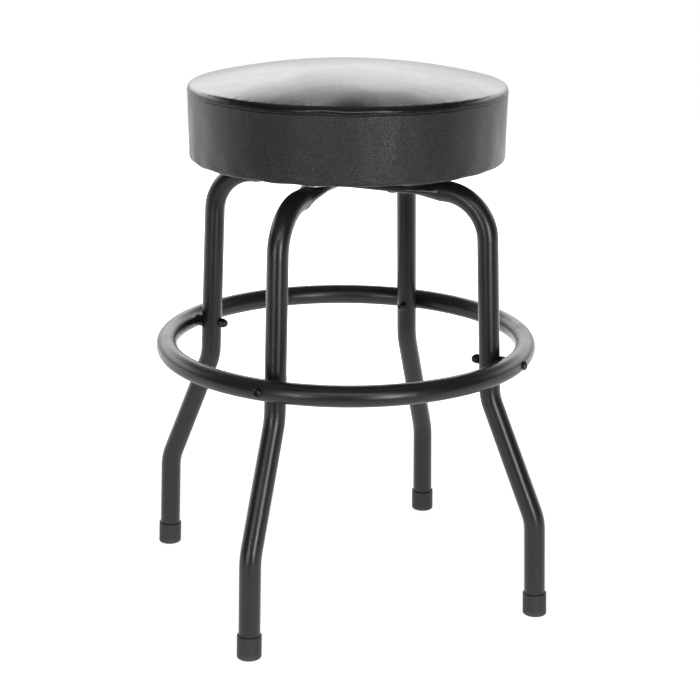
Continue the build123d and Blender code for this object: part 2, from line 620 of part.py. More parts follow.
with BuildPart() as seat_top_cover:
    with BuildSketch(Plane.XZ):
        with BuildLine():
            dome_line(0)
            dome_line(VINYL)
            Line((SEAT_RADIUS, shoulder_centre[1]), (SEAT_RADIUS - VINYL, shoulder_centre[1]))
            Line((0, SEAM_HEIGHT + CROWN_HEIGHT), (0, SEAM_HEIGHT + CROWN_HEIGHT - VINYL))
        make_face()
    revolve(axis=Axis.Z)
save(seat_top_cover.part, "seat_top_cover")

foam_split = SEAM_HEIGHT - CROWN_FOAM_SKIRT
with BuildPart() as crown_foam:
    with BuildSketch(Plane.XZ):
        with BuildLine():
            inset = VINYL + SOFT_CLEARANCE
            dome_line(inset)
            Line((SEAT_RADIUS - inset, shoulder_centre[1]), (SEAT_RADIUS - inset, foam_split))
            Line((SEAT_RADIUS - inset, foam_split), (0, foam_split))
            Line((0, foam_split), (0, SEAM_HEIGHT + CROWN_HEIGHT - inset))
        make_face()
    revolve(axis=Axis.Z)
    with BuildSketch(Plane.XY.offset(foam_split)):
        Circle(BOARD_RADIUS)
    extrude(amount=CROWN_FOAM_SKIRT + CROWN_HEIGHT, mode=Mode.INTERSECT)
save(crown_foam.part, "crown_foam")

with BuildPart() as base_foam:
    with BuildSketch(Plane.XY.offset(BOARD_TOP)):
        Circle(BOARD_RADIUS)
    extrude(amount=foam_split - BOARD_TOP)
save(base_foam.part, "base_foam")

# Staples drive up through the hem into the board
staple_reach = hem_inner + HEM_WIDTH / 2
with BuildPart() as cover_staples:
    with Locations((0, 0, BAND_FOOT - STAPLE_WIRE / 2)):
        with PolarLocations(staple_reach, STAPLE_COUNT):
            Box(2 * STAPLE_WIRE, STAPLE_CROWN, STAPLE_WIRE)
    for side in (-1, 1):
        with Locations((0, 0, BAND_FOOT + STAPLE_LEG / 2)):
            with PolarLocations(staple_reach, STAPLE_COUNT):
                with Locations((0, side * (STAPLE_CROWN - STAPLE_WIRE) / 2, 0)):
                    Box(2 * STAPLE_WIRE, STAPLE_WIRE, STAPLE_LEG)
save(cover_staples.part, "cover_staples")
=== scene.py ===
# %% [markdown]
# # A padded bar stool, finished in Blender
# The stool arrives as a packed engineering model: leg tubes, foot ring, swivel and fasteners at
# their real size, with a plain solid for each soft part. The rigid pieces could be modelled again
# with modifiers, but that would lose their sizes, so each one stays where it is and only gets a
# finish. The plain seat solids give way to a sewn cushion. All lengths are in metres, +Z is up,
# and the swivel's axis is the Z axis.

# %% Load the frame
import math

import bmesh
import bpy
import numpy as np
from mathutils import Matrix, Vector
from mathutils.bvhtree import BVHTree


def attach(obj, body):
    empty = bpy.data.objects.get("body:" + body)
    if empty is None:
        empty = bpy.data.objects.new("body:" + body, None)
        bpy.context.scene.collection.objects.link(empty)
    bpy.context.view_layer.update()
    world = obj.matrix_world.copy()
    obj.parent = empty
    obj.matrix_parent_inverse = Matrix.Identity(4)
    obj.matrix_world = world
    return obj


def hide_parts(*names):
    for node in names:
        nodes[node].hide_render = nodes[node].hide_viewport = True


MM = 0.001
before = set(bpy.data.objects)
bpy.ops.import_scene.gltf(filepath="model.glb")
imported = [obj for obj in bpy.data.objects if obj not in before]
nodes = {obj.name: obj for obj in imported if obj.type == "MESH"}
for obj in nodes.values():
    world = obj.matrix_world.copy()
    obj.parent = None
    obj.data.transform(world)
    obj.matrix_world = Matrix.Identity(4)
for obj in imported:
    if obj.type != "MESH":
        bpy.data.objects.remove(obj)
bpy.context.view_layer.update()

# %% [markdown]
# ## Camera
# The stool is seen through a long lens from about two metres off and a little above the seat, so
# the top of the cushion shows as a thin ellipse, the ring below as a wider one, and the legs stay
# almost parallel. A Track To constraint could aim the camera, but it keeps the view level, and
# this one is rolled by half a degree. So the camera's axes are worked out from angles. The stool's
# own turn keeps any two legs from lining up.

# %% Camera
CAMERA_REACH = 1.9879
CAMERA_HEIGHT = 0.8840
TURN = math.radians(19.93)       # the stool's own turn against the line of sight
PITCH = math.radians(16.85)
YAW = math.radians(0.14)
ROLL = math.radians(0.48)
FOCAL_LENGTH = 92.5
SENSOR_WIDTH = 36


def place_camera():
    """A camera that looks along a pitched, slightly rolled line at the stool."""
    level = Vector((math.cos(YAW), -math.sin(YAW), 0))
    ahead = Vector((math.sin(YAW) * math.cos(PITCH), math.cos(YAW) * math.cos(PITCH),
                    -math.sin(PITCH)))
    upright = level.cross(ahead)
    right = level * math.cos(ROLL) + upright * math.sin(ROLL)
    above = upright * math.cos(ROLL) - level * math.sin(ROLL)
    turned = Matrix.Rotation(-TURN, 3, "Z")
    axes = Matrix((turned @ right, turned @ above, turned @ -ahead)).transposed()
    spot = turned @ Vector((0, -CAMERA_REACH, CAMERA_HEIGHT))
    data = bpy.data.cameras.new("camera")
    data.lens = FOCAL_LENGTH
    data.sensor_width = SENSOR_WIDTH
    camera = bpy.data.objects.new("camera", data)
    bpy.context.scene.collection.objects.link(camera)
    camera.matrix_world = Matrix.Translation(spot) @ axes.to_4x4()
    bpy.context.scene.camera = camera
    return camera


camera = place_camera()
print(f"camera at {tuple(round(v, 3) for v in camera.matrix_world.translation)}")

# %% [markdown]
# ## Shader trees
# The room and every surface are shader node trees. They could be wired by hand in the Shader
# Editor, but a few helpers that add a node and join its sockets keep each recipe short enough to
# read. They work alike in a material, in the world and in a node group.

# %% Shader node helpers
def link(tree, start, end):
    """Join an output socket to an input socket."""
    tree.links.new(start, end)


def node(tree, kind, **settings):
    """Add a shader node and set its properties."""
    made = tree.nodes.new(kind)
    for name, value in settings.items():
        setattr(made, name, value)
    return made


def math_node(tree, operation, first, second=0.5, third=None):
    """A Math node whose inputs may be sockets or numbers."""
    made = node(tree, "ShaderNodeMath", operation=operation)
    for socket, value in zip(made.inputs, (first, second, third)):
        if value is None:
            continue
        if isinstance(value, (int, float)):
            socket.default_value = value
        else:
            link(tree, value, socket)
    return made.outputs[0]


def ramp_between(tree, value, low, high, bottom=0.0, top=1.0):
    """Smooth step of a value from bottom to top."""
    made = node(tree, "ShaderNodeMapRange", interpolation_type="SMOOTHSTEP")
    link(tree, value, made.inputs["Value"])
    for name, number in zip(("From Min", "From Max", "To Min", "To Max"), (low, high, bottom, top)):
        made.inputs[name].default_value = number
    return made.outputs["Result"]


def seen_by_camera(tree, vector):
    """Right, beyond and up parts of a vector, as the camera sees them."""
    turn = node(tree, "ShaderNodeVectorRotate", rotation_type="Z_AXIS")
    turn.inputs["Angle"].default_value = TURN
    link(tree, vector, turn.inputs["Vector"])
    parts = node(tree, "ShaderNodeSeparateXYZ")
    link(tree, turn.outputs[0], parts.inputs[0])
    return parts


print("shader helpers ready, the camera's turn is", round(math.degrees(TURN), 2), "degrees")

# %% [markdown]
# ## World
# Black vinyl and black paint are shown by what they mirror, so the room is drawn with care: a
# white backdrop far brighter than white paper, grey sides and a dim ceiling. The backdrop could be
# a lit, curved mesh. It is part of the world instead, set by direction, because that costs no
# objects and gives less noise. A ray from the camera that meets the world finds plain white.

# %% World
HORIZON = 0.45                   # strength of the backdrop low down
HIGH_WALL = 4.0                  # and high up
SIDES = 0.07
OVERHEAD = 0.3
SEEN_WHITE = 1.05                # what a ray from the camera finds
WALL_EDGE = (0.0, 0.6)           # part of a direction that points beyond the stool
WALL_TOP = (0.44, 0.50)          # upward part of a direction, here and below
WALL_RISE = (-0.1, 0.5)
CEILING_EDGE = (0.76, 0.95)


def make_world():
    """White backdrop beyond the stool, greyer sides, dim ceiling."""
    world = bpy.data.worlds.new("studio")
    bpy.context.scene.world = world
    world.use_nodes = True
    tree = world.node_tree
    tree.nodes.clear()
    parts = seen_by_camera(tree, node(tree, "ShaderNodeTexCoord").outputs["Generated"])
    beyond = ramp_between(tree, parts.outputs["Y"], *WALL_EDGE)
    low = ramp_between(tree, parts.outputs["Z"], *WALL_TOP, 1.0, 0.0)
    wall = math_node(tree, "MULTIPLY", beyond, low)
    rising = ramp_between(tree, parts.outputs["Z"], *WALL_RISE, HORIZON, HIGH_WALL)
    lift = math_node(tree, "MULTIPLY", wall, rising)
    around = ramp_between(tree, parts.outputs["Z"], *CEILING_EDGE, SIDES, OVERHEAD)
    light = math_node(tree, "ADD", lift, around)
    seen = node(tree, "ShaderNodeLightPath")
    room = node(tree, "ShaderNodeBackground")
    room.inputs["Color"].default_value = (1, 1, 1, 1)
    link(tree, light, room.inputs["Strength"])
    white = node(tree, "ShaderNodeBackground")
    white.inputs["Color"].default_value = (1, 1, 1, 1)
    white.inputs["Strength"].default_value = SEEN_WHITE
    choose = node(tree, "ShaderNodeMixShader")
    link(tree, seen.outputs["Is Camera Ray"], choose.inputs[0])
    link(tree, room.outputs[0], choose.inputs[1])
    link(tree, white.outputs[0], choose.inputs[2])
    link(tree, choose.outputs[0], node(tree, "ShaderNodeOutputWorld").inputs[0])


make_world()
bpy.context.scene.view_settings.view_transform = "Standard"
print(f"world made: backdrop {HORIZON} to {HIGH_WALL}, sides {SIDES}, ceiling {OVERHEAD}")

# %% [markdown]
# ## Paper floor
# The stool stands on paper that runs off on all sides. A real sweep is lit from above, which would
# take many lamps here to stay even, so the paper glows by itself: little on the near side, which
# keeps the front of the band dark, and more beyond. The camera always sees it almost white, and it
# is clear from underneath, so that the swivel can be looked at from below.

# %% Paper floor
FLOOR_HALF = 12.0
PAPER_GLOW = 0.96
NEAR_GLOW = 0.04
POOL_GLOW = 1.1                  # added beyond the stool
NEAR_EDGE = (-1.0, -0.45)        # metres beyond the swivel's axis, here and below
POOL_START = (0.2, 1.0)
POOL_END = (2.2, 3.4)


def paper_material():
    """Pale paper that glows: less towards the camera, more beyond, and clear from underneath."""
    paper = bpy.data.materials.new("paper_sweep")
    paper.use_nodes = True
    tree = paper.node_tree
    shader = tree.nodes["Principled BSDF"]
    shader.inputs["Base Color"].default_value = (0.12, 0.12, 0.12, 1)
    shader.inputs["Roughness"].default_value = 0.9
    shader.inputs["Specular IOR Level"].default_value = 0.0
    shader.inputs["Emission Color"].default_value = (1, 1, 1, 1)
    spot = node(tree, "ShaderNodeNewGeometry")
    place = seen_by_camera(tree, spot.outputs["Position"])
    glow = ramp_between(tree, place.outputs["Y"], *NEAR_EDGE, NEAR_GLOW, PAPER_GLOW)
    near = ramp_between(tree, place.outputs["Y"], *POOL_START, 0.0, POOL_GLOW)
    far = ramp_between(tree, place.outputs["Y"], *POOL_END, 1.0, 0.0)
    pool = math_node(tree, "MULTIPLY_ADD", near, far, glow)
    from_camera = node(tree, "ShaderNodeLightPath").outputs["Is Camera Ray"]
    seen = math_node(tree, "MULTIPLY", from_camera, PAPER_GLOW)
    link(tree, math_node(tree, "MAXIMUM", pool, seen), shader.inputs["Emission Strength"])
    choose = node(tree, "ShaderNodeMixShader")
    link(tree, spot.outputs["Backfacing"], choose.inputs[0])
    link(tree, shader.outputs[0], choose.inputs[1])
    link(tree, node(tree, "ShaderNodeBsdfTransparent").outputs[0], choose.inputs[2])
    link(tree, choose.outputs[0], tree.nodes["Material Output"].inputs[0])
    return paper


def make_floor():
    """A wide, level sheet of paper under the stool."""
    mesh = bpy.data.meshes.new("floor")
    corners = [(-FLOOR_HALF, -FLOOR_HALF, 0), (FLOOR_HALF, -FLOOR_HALF, 0),
               (FLOOR_HALF, FLOOR_HALF, 0), (-FLOOR_HALF, FLOOR_HALF, 0)]
    mesh.from_pydata(corners, [], [(0, 1, 2, 3)])
    mesh.materials.append(paper_material())
    floor = bpy.data.objects.new("floor", mesh)
    bpy.context.scene.collection.objects.link(floor)


make_floor()
print(f"paper floor: {2 * FLOOR_HALF} m square")

# %% [markdown]
# ## Soft boxes
# Two tall soft boxes stand in front, to the left and right, and a wide one hangs above. Their
# reflections are the pale streaks on the band and the lines down the legs. Point lamps would leave
# hot dots in glossy vinyl, so each lamp is a rectangle, with the size of the streak it has to
# make.

# %% Soft boxes
def studio(x, y, z):
    """A point given as right of, beyond and above the stool's foot, as the camera sees it."""
    return Matrix.Rotation(-TURN, 3, "Z") @ Vector((x, y, z))


def soft_box(name, spot, aim, width, height, power):
    """A rectangular lamp that the camera doesn't see."""
    data = bpy.data.lights.new(name, "AREA")
    data.shape = "RECTANGLE"
    data.size = width
    data.size_y = height
    data.energy = power
    lamp = bpy.data.objects.new(name, data)
    bpy.context.scene.collection.objects.link(lamp)
    lamp.location = studio(*spot)
    direction = studio(*aim) - lamp.location
    lamp.rotation_euler = direction.to_track_quat("-Z", "Y").to_euler()
    lamp.visible_camera = False


soft_box("left_box", (-1.0, -1.9, 0.5), (0, 0, 0.5), 0.17, 0.9, 9)
soft_box("right_box", (0.92, -1.95, 0.5), (0, 0, 0.5), 0.24, 0.9, 18)
soft_box("high_box", (0, -1.8, 1.45), (0, 0, 0.3), 1.8, 0.3, 9)
print("soft boxes:", {lamp.name: f"{lamp.energy:.0f} W" for lamp in bpy.data.lights})

# %% [markdown]
# ## Shared surface effects
# Three effects turn up on more than one material: the pebbled grain of vinyl, the faint orange
# peel of baked powder, and a slow drift of handling dust. Painted textures could carry them, but
# they need a flattened surface and run out of detail close up. So each is a node group of noise in
# object space. A group gives out heights and masks only, and every material feeds them to its own
# shader.

# %% Group helper
def new_group(name, inputs, outputs):
    """An empty shader node group with float inputs (name: default) and float outputs."""
    group = bpy.data.node_groups.new(name, "ShaderNodeTree")
    for title, value in inputs.items():
        socket = group.interface.new_socket(title, in_out="INPUT", socket_type="NodeSocketFloat")
        socket.default_value = value
    for title in outputs:
        group.interface.new_socket(title, in_out="OUTPUT", socket_type="NodeSocketFloat")
    return group, node(group, "NodeGroupInput"), node(group, "NodeGroupOutput")


def noise(tree, scale, detail, roughness, where, distortion=0.0):
    """Noise over object space. Scale is in cycles per metre and may be a socket."""
    made = node(tree, "ShaderNodeTexNoise")
    link(tree, where, made.inputs["Vector"])
    if isinstance(scale, (int, float)):
        made.inputs["Scale"].default_value = scale
    else:
        link(tree, scale, made.inputs["Scale"])
    made.inputs["Detail"].default_value = detail
    made.inputs["Roughness"].default_value = roughness
    made.inputs["Distortion"].default_value = distortion
    return made.outputs["Fac"]


print("group helper ready; groups so far:", len(bpy.data.node_groups))

# %% [markdown]
# ## Pebbled grain
# Upholstery vinyl is embossed with small uneven pebbles split by creases, and it wrinkles softly
# where it is slack. A Voronoi texture's distance to edge gives the pebbles. Its straight cell
# walls would look drawn, so noise nudges the coordinates first, and longer noise on top makes the
# wrinkles.

# %% Pebbled grain
def make_grain_group():
    """Small uneven pebbles split by creases, on top of longer soft wrinkles."""
    group, into, out = new_group(
        "pebbled_grain", {"Cells": 620.0, "Wrinkles": 260.0, "Wrinkle Share": 1.0},
        ("Height", "Crease", "Drift"))
    place = node(group, "ShaderNodeTexCoord").outputs["Object"]
    warp = node(group, "ShaderNodeTexNoise")
    warp.inputs["Scale"].default_value = 240.0
    link(group, place, warp.inputs["Vector"])
    nudge = node(group, "ShaderNodeVectorMath", operation="MULTIPLY_ADD")
    link(group, warp.outputs["Color"], nudge.inputs[0])
    nudge.inputs[1].default_value = (0.0016, 0.0016, 0.0016)
    link(group, place, nudge.inputs[2])
    cells = node(group, "ShaderNodeTexVoronoi", feature="DISTANCE_TO_EDGE")
    link(group, nudge.outputs[0], cells.inputs["Vector"])
    link(group, into.outputs["Cells"], cells.inputs["Scale"])
    pebble = ramp_between(group, cells.outputs["Distance"], 0.0, 0.28)
    wrinkle = noise(group, into.outputs["Wrinkles"], 4.0, 0.55, place, 0.6)
    share = math_node(group, "MULTIPLY", wrinkle, into.outputs["Wrinkle Share"])
    link(group, math_node(group, "ADD", pebble, share), out.inputs["Height"])
    link(group, math_node(group, "SUBTRACT", 1.0, pebble), out.inputs["Crease"])
    drift = noise(group, 9.0, 2.0, 0.5, place)
    link(group, drift, out.inputs["Drift"])
    return group


GRAIN = make_grain_group()
print(f"{GRAIN.name}: {len(GRAIN.nodes)} nodes")

# %% [markdown]
# ## Orange peel
# Powder melts into a skin that is never quite flat. A fine ripple and a broad one are added
# together, and the peaks of the fine one also come out as specks. Real displacement would need
# millions of faces for a ripple of a few hundredths of a millimetre, so this stays a height for
# bump.

# %% Orange peel
def make_peel_group():
    """Orange peel of baked powder: a fine ripple and a broad one."""
    group, into, out = new_group(
        "orange_peel", {"Fine": 900.0, "Broad": 160.0}, ("Height", "Speck"))
    place = node(group, "ShaderNodeTexCoord").outputs["Object"]
    fine = noise(group, into.outputs["Fine"], 2.0, 0.5, place)
    broad = noise(group, into.outputs["Broad"], 2.0, 0.5, place)
    both = math_node(group, "MULTIPLY_ADD", broad, 0.8, fine)
    link(group, both, out.inputs["Height"])
    link(group, ramp_between(group, fine, 0.66, 0.78), out.inputs["Speck"])
    return group


PEEL = make_peel_group()
print(f"{PEEL.name}: {len(PEEL.nodes)} nodes")

# %% [markdown]
# ## Handling dust
# Dust lies on what faces up, thicker in slow patches. It could be painted on by hand as vertex
# colours. The upward part of the surface normal finds the same places by itself and stays right on
# every piece, and cloudy noise breaks it up.

# %% Handling dust
def make_dust_group():
    """Handling dust: it lies on what faces up, thicker in slow patches."""
    group, into, out = new_group("light_dust", {"Patch": 14.0, "Amount": 0.5}, ("Mask",))
    coordinates = node(group, "ShaderNodeTexCoord")
    patch = noise(group, into.outputs["Patch"], 5.0, 0.62, coordinates.outputs["Object"])
    facing = node(group, "ShaderNodeSeparateXYZ")
    link(group, node(group, "ShaderNodeNewGeometry").outputs["Normal"], facing.inputs[0])
    up = ramp_between(group, facing.outputs["Z"], 0.1, 1.0, 0.25, 1.0)
    cloud = ramp_between(group, patch, 0.42, 0.72)
    lying = math_node(group, "MULTIPLY", up, cloud)
    mask = math_node(group, "MULTIPLY", lying, into.outputs["Amount"])
    link(group, mask, out.inputs["Mask"])
    return group


DUST = make_dust_group()
print(f"{DUST.name}: {len(DUST.nodes)} nodes")

# %% [markdown]
# ## Materials
# Each material starts from a Principled shader, since that one shader covers vinyl, paint, steel
# and foam. The helpers set its base values, put a shared effect in, turn a height into bump, and
# mix two colours by a mask. Finished materials are kept under the name of the slot they fill.

# %% Material helper
FINISH = {}


def new_material(name, colour, roughness, metallic=0.0):
    """A material, its node tree and its Principled shader."""
    made = bpy.data.materials.new(name)
    made.use_nodes = True
    shader = made.node_tree.nodes["Principled BSDF"]
    shader.inputs["Base Color"].default_value = (*colour, 1)
    shader.inputs["Roughness"].default_value = roughness
    shader.inputs["Metallic"].default_value = metallic
    return made, made.node_tree, shader


def effect(tree, group, **values):
    """Put a shared effect in a material. Values name the group's inputs, with _ for a space."""
    made = node(tree, "ShaderNodeGroup", node_tree=group)
    for name, value in values.items():
        made.inputs[name.replace("_", " ")].default_value = value
    return made


def bump(tree, shader, height, distance, strength=1.0):
    """Feed a height to the shader's normal. Distance is in metres."""
    made = node(tree, "ShaderNodeBump")
    made.inputs["Strength"].default_value = strength
    made.inputs["Distance"].default_value = distance
    link(tree, height, made.inputs["Height"])
    link(tree, made.outputs[0], shader.inputs["Normal"])


def colour_mix(tree, mask, first, second):
    """A colour between two, by a mask."""
    made = node(tree, "ShaderNodeMix", data_type="RGBA")
    link(tree, mask, made.inputs["Factor"])
    made.inputs["A"].default_value = (*first, 1)
    made.inputs["B"].default_value = (*second, 1)
    return made.outputs["Result"]


print("material helpers ready; slots filled so far:", len(FINISH))

# %% [markdown]
# ## Vinyl
# The seat is covered in black vinyl: pebbled, creased, and a little mottled. A plain dark gloss
# would mirror as hard as lacquer, so the creases are rougher than the pebbles and the grain bends
# the light. The band and the welt are slack and wrinkled. The top is pulled tight over the foam,
# so its grain is shallower and its gloss is higher.

# %% Vinyl
def make_vinyl(name, wrinkle_share, depth, smooth):
    """Black upholstery vinyl: pebbled, creased with painted shade, a little worn, with soft
    mottling.
    """
    made, tree, shader = new_material(name, (0.009, 0.008, 0.008), smooth)
    grain = effect(tree, GRAIN, Wrinkle_Share=wrinkle_share)
    dust = effect(tree, DUST, Patch=22.0, Amount=0.5)
    # Painted shade: the creases of the grain are coloured darker than the pebbles, as shade lying
    # between them.
    shade = colour_mix(tree, grain.outputs["Crease"],
                       (0.0085, 0.0070, 0.0072), (0.005, 0.004, 0.004))
    pale = node(tree, "ShaderNodeMix", data_type="RGBA")
    link(tree, math_node(tree, "MULTIPLY", dust.outputs["Mask"], 0.12), pale.inputs["Factor"])
    link(tree, shade, pale.inputs["A"])
    pale.inputs["B"].default_value = (0.07, 0.065, 0.062, 1)
    link(tree, pale.outputs["Result"], shader.inputs["Base Color"])
    drift = ramp_between(tree, grain.outputs["Drift"], 0.35, 0.65, smooth - 0.02, smooth + 0.04)
    worn = math_node(tree, "MULTIPLY_ADD", dust.outputs["Mask"], 0.04, drift)
    rough = math_node(tree, "MULTIPLY_ADD", grain.outputs["Crease"], 0.04, worn)
    link(tree, rough, shader.inputs["Roughness"])
    bump(tree, shader, grain.outputs["Height"], depth)
    return made


FINISH["seat_vinyl"] = make_vinyl("vinyl_loose", 1.6, 0.00014, 0.35)
TAUT = make_vinyl("vinyl_taut", 0.4, 0.00002, 0.2)
print("vinyl for the band:", FINISH["seat_vinyl"].name, "and for the top:", TAUT.name)

# %% [markdown]
# ## Powder paint
# The legs and the ring are steel tube under baked black powder. A clear coat layer could be put on
# top, but powder is a single skin, so one dark base with medium roughness carries it. The peel
# bends its long highlights, and dust lifts and dulls what faces up.

# %% Powder paint
def make_paint():
    """Black baked powder on steel tube, with orange peel and handling dust."""
    made, tree, shader = new_material("powder_black", (0.02, 0.018, 0.018), 0.33)
    peel = effect(tree, PEEL)
    dust = effect(tree, DUST, Patch=18.0, Amount=0.6)
    shade = colour_mix(tree, dust.outputs["Mask"], (0.009, 0.008, 0.008), (0.02, 0.018, 0.017))
    link(tree, shade, shader.inputs["Base Color"])
    rough = math_node(tree, "MULTIPLY_ADD", dust.outputs["Mask"], 0.14, 0.31)
    speckled = math_node(tree, "MULTIPLY_ADD", peel.outputs["Speck"], 0.08, rough)
    link(tree, speckled, shader.inputs["Roughness"])
    bump(tree, shader, peel.outputs["Height"], 0.00003)
    return made


FINISH["frame_paint"] = make_paint()
print("paint:", FINISH["frame_paint"].name)

# %% [markdown]
# ## Rubber
# The foot caps are moulded rubber: matte, with a fine tooth, and scuffed pale in the last
# millimetres above the floor. The scuffs could be painted on each cap. They come from a mask made
# of height above the floor, so all four caps get them in the right place.

# %% Rubber
def make_rubber():
    """Matte black rubber with a moulded tooth and scuffs near the floor."""
    made, tree, shader = new_material("rubber_black", (0.018, 0.018, 0.018), 0.62)
    peel = effect(tree, PEEL, Fine=1400.0, Broad=300.0)
    place = node(tree, "ShaderNodeSeparateXYZ")
    link(tree, node(tree, "ShaderNodeNewGeometry").outputs["Position"], place.inputs[0])
    low = ramp_between(tree, place.outputs["Z"], 0.001, 0.009, 1.0, 0.0)
    scuff = math_node(tree, "MULTIPLY", low, peel.outputs["Height"])
    shade = colour_mix(tree, scuff, (0.016, 0.016, 0.016), (0.055, 0.052, 0.048))
    link(tree, shade, shader.inputs["Base Color"])
    link(tree, math_node(tree, "MULTIPLY_ADD", scuff, 0.2, 0.56), shader.inputs["Roughness"])
    bump(tree, shader, peel.outputs["Height"], 0.00008)
    return made


FINISH["foot_rubber"] = make_rubber()
print("rubber:", FINISH["foot_rubber"].name)

# %% [markdown]
# ## Steel
# Staples, swivel plates, cage, balls and fasteners are plated or blackened steel. Each could have
# a recipe of its own, but they differ only in two tones, in gloss and in how far they are rubbed,
# so one serves them all. Cloudy noise mixes the tones, and a finer, twisted noise makes the rubbed
# spots.

# %% Steel
def make_steel(name, dark, light, roughness, rub=0.5):
    """Plated or blackened steel: a cloudy finish between two tones, with rubbed spots."""
    made, tree, shader = new_material(name, light, roughness, 1.0)
    place = node(tree, "ShaderNodeTexCoord").outputs["Object"]
    cloud = ramp_between(tree, noise(tree, 130.0, 4.0, 0.6, place), 0.35, 0.7)
    link(tree, colour_mix(tree, cloud, dark, light), shader.inputs["Base Color"])
    scratch = noise(tree, 900.0, 2.0, 0.7, place, 1.5)
    rough = math_node(tree, "MULTIPLY_ADD", scratch, rub * 0.3, roughness - rub * 0.15)
    link(tree, rough, shader.inputs["Roughness"])
    bump(tree, shader, scratch, 0.00003)
    return made


FINISH.update(
    bright_steel=make_steel("zinc_plate", (0.42, 0.42, 0.4), (0.66, 0.66, 0.64), 0.34),
    plate_steel=make_steel("zinc_sheet", (0.32, 0.33, 0.33), (0.55, 0.56, 0.57), 0.42),
    cage_steel=make_steel("cage_strip", (0.4, 0.39, 0.36), (0.58, 0.57, 0.53), 0.36),
    ball_steel=make_steel("ball_chrome", (0.6, 0.6, 0.61), (0.72, 0.72, 0.73), 0.14, 0.2),
    black_fastener=make_steel(
        "blackened_steel", (0.03, 0.028, 0.027), (0.075, 0.07, 0.066), 0.3))
print("steels:", [m.name for slot, m in FINISH.items() if slot.endswith(("steel", "fastener"))])

# %% [markdown]
# ## Foam
# Cushion foam is pale and open-celled. It is out of sight under the vinyl and only shows when the
# cover is hidden. Its pores are far too many to model, so a Voronoi texture dents them and paints
# shade into them.

# %% Foam material
def make_foam():
    """Open-cell foam: pale cream, full of small pores with painted shade in them."""
    made, tree, shader = new_material("cushion_foam", (0.72, 0.66, 0.5), 0.95)
    place = node(tree, "ShaderNodeTexCoord").outputs["Object"]
    pores = node(tree, "ShaderNodeTexVoronoi", feature="F1")
    pores.inputs["Scale"].default_value = 700.0
    link(tree, place, pores.inputs["Vector"])
    # Painted shade: each pore is coloured darker towards its middle, as shade inside it.
    hole = ramp_between(tree, pores.outputs["Distance"], 0.15, 0.5)
    shade = colour_mix(tree, hole, (0.34, 0.29, 0.2), (0.74, 0.68, 0.52))
    link(tree, shade, shader.inputs["Base Color"])
    bump(tree, shader, hole, 0.0006)
    return made


FINISH["foam"] = make_foam()
print("foam:", FINISH["foam"].name)

# %% [markdown]
# ## Plywood
# The seat board is birch plywood: a wavy figure on its faces, and dark and light plies at its
# edge. A flat wood texture would run over the edge as if it were one more face. A sine of height
# draws the plies right through the board, so they are true wherever it is cut, and stretched noise
# draws the figure.

# %% Plywood
def make_plywood():
    """Seat board: birch faces with a wavy figure, and dark and light plies on its edge."""
    made, tree, shader = new_material("birch_plywood", (0.5, 0.36, 0.2), 0.6)
    place = node(tree, "ShaderNodeTexCoord").outputs["Object"]
    stretch = node(tree, "ShaderNodeVectorMath", operation="MULTIPLY")
    link(tree, place, stretch.inputs[0])
    stretch.inputs[1].default_value = (1.0, 9.0, 9.0)
    figure = noise(tree, 8.0, 6.0, 0.6, stretch.outputs[0], 0.8)
    parts = node(tree, "ShaderNodeSeparateXYZ")
    link(tree, place, parts.inputs[0])
    ply = math_node(tree, "SINE", math_node(tree, "MULTIPLY", parts.outputs["Z"], 2600.0))
    both = math_node(tree, "MULTIPLY_ADD", ply, 0.25, figure)
    grain = ramp_between(tree, both, 0.3, 0.85)
    shade = colour_mix(tree, grain, (0.62, 0.46, 0.27), (0.36, 0.22, 0.1))
    link(tree, shade, shader.inputs["Base Color"])
    bump(tree, shader, figure, 0.0002)
    return made


FINISH["plywood"] = make_plywood()
print("board:", FINISH["plywood"].name)

# %% [markdown]
# ## Dust cloth
# A thin black non-woven cloth closes the seat from below. It has no threads, so a woven pattern
# would be wrong. Strongly twisted noise makes its matted fibres, and the dimples that bond them
# are pressed in as cells.

# %% Dust cloth
def make_dust_cloth():
    """Black non-woven cloth: matted fibres, with pressed dimples."""
    made, tree, shader = new_material("nonwoven_black", (0.02, 0.02, 0.02), 0.9)
    place = node(tree, "ShaderNodeTexCoord").outputs["Object"]
    fibres = noise(tree, 1800.0, 3.0, 0.7, place, 2.5)
    dimple = node(tree, "ShaderNodeTexVoronoi", feature="F1")
    dimple.inputs["Scale"].default_value = 500.0
    link(tree, place, dimple.inputs["Vector"])
    pressed = ramp_between(tree, dimple.outputs["Distance"], 0.0, 0.3, 1.0, 0.0)
    shade = colour_mix(tree, fibres, (0.012, 0.012, 0.012), (0.05, 0.05, 0.052))
    link(tree, shade, shader.inputs["Base Color"])
    bump(tree, shader, math_node(tree, "SUBTRACT", fibres, pressed), 0.0002)
    return made


FINISH["dust_cover_fabric"] = make_dust_cloth()
print("dust cover:", FINISH["dust_cover_fabric"].name)

# %% [markdown]
# ## A finish for every piece
# Every rigid piece keeps its mesh and only changes its material. Materials could be put on one by
# one, but a table by slot says in one place what the stool is made of, and any piece left out is
# printed.

# %% Give every node its material
SLOTS = {
    "seat_vinyl": ("seat_top_cover", "seat_side_band", "seat_welt"),
    "foam": ("crown_foam", "base_foam"),
    "plywood": ("seat_board",),
    "dust_cover_fabric": ("dust_cover",),
    "bright_steel": ("cover_staples", "board_tee_nuts", "top_plate_bolts", "swivel_rivet",
                     "frame_spacers"),
    "plate_steel": ("swivel_bottom_plate", "swivel_top_plate"),
    "cage_steel": ("ball_cage",),
    "ball_steel": ("bearing_balls",),
    "frame_paint": ("upper_leg_frame", "lower_leg_frame", "foot_ring"),
    "black_fastener": ("frame_bolts", "frame_washers", "frame_nuts", "ring_bolts",
                       "ring_spacers", "ring_cap_nuts"),
    "foot_rubber": ("front_left_foot_cap", "front_right_foot_cap", "back_right_foot_cap",
                    "back_left_foot_cap"),
}
for slot_name, names in SLOTS.items():
    for name in names:
        nodes[name].data.materials.clear()
        nodes[name].data.materials.append(FINISH[slot_name])
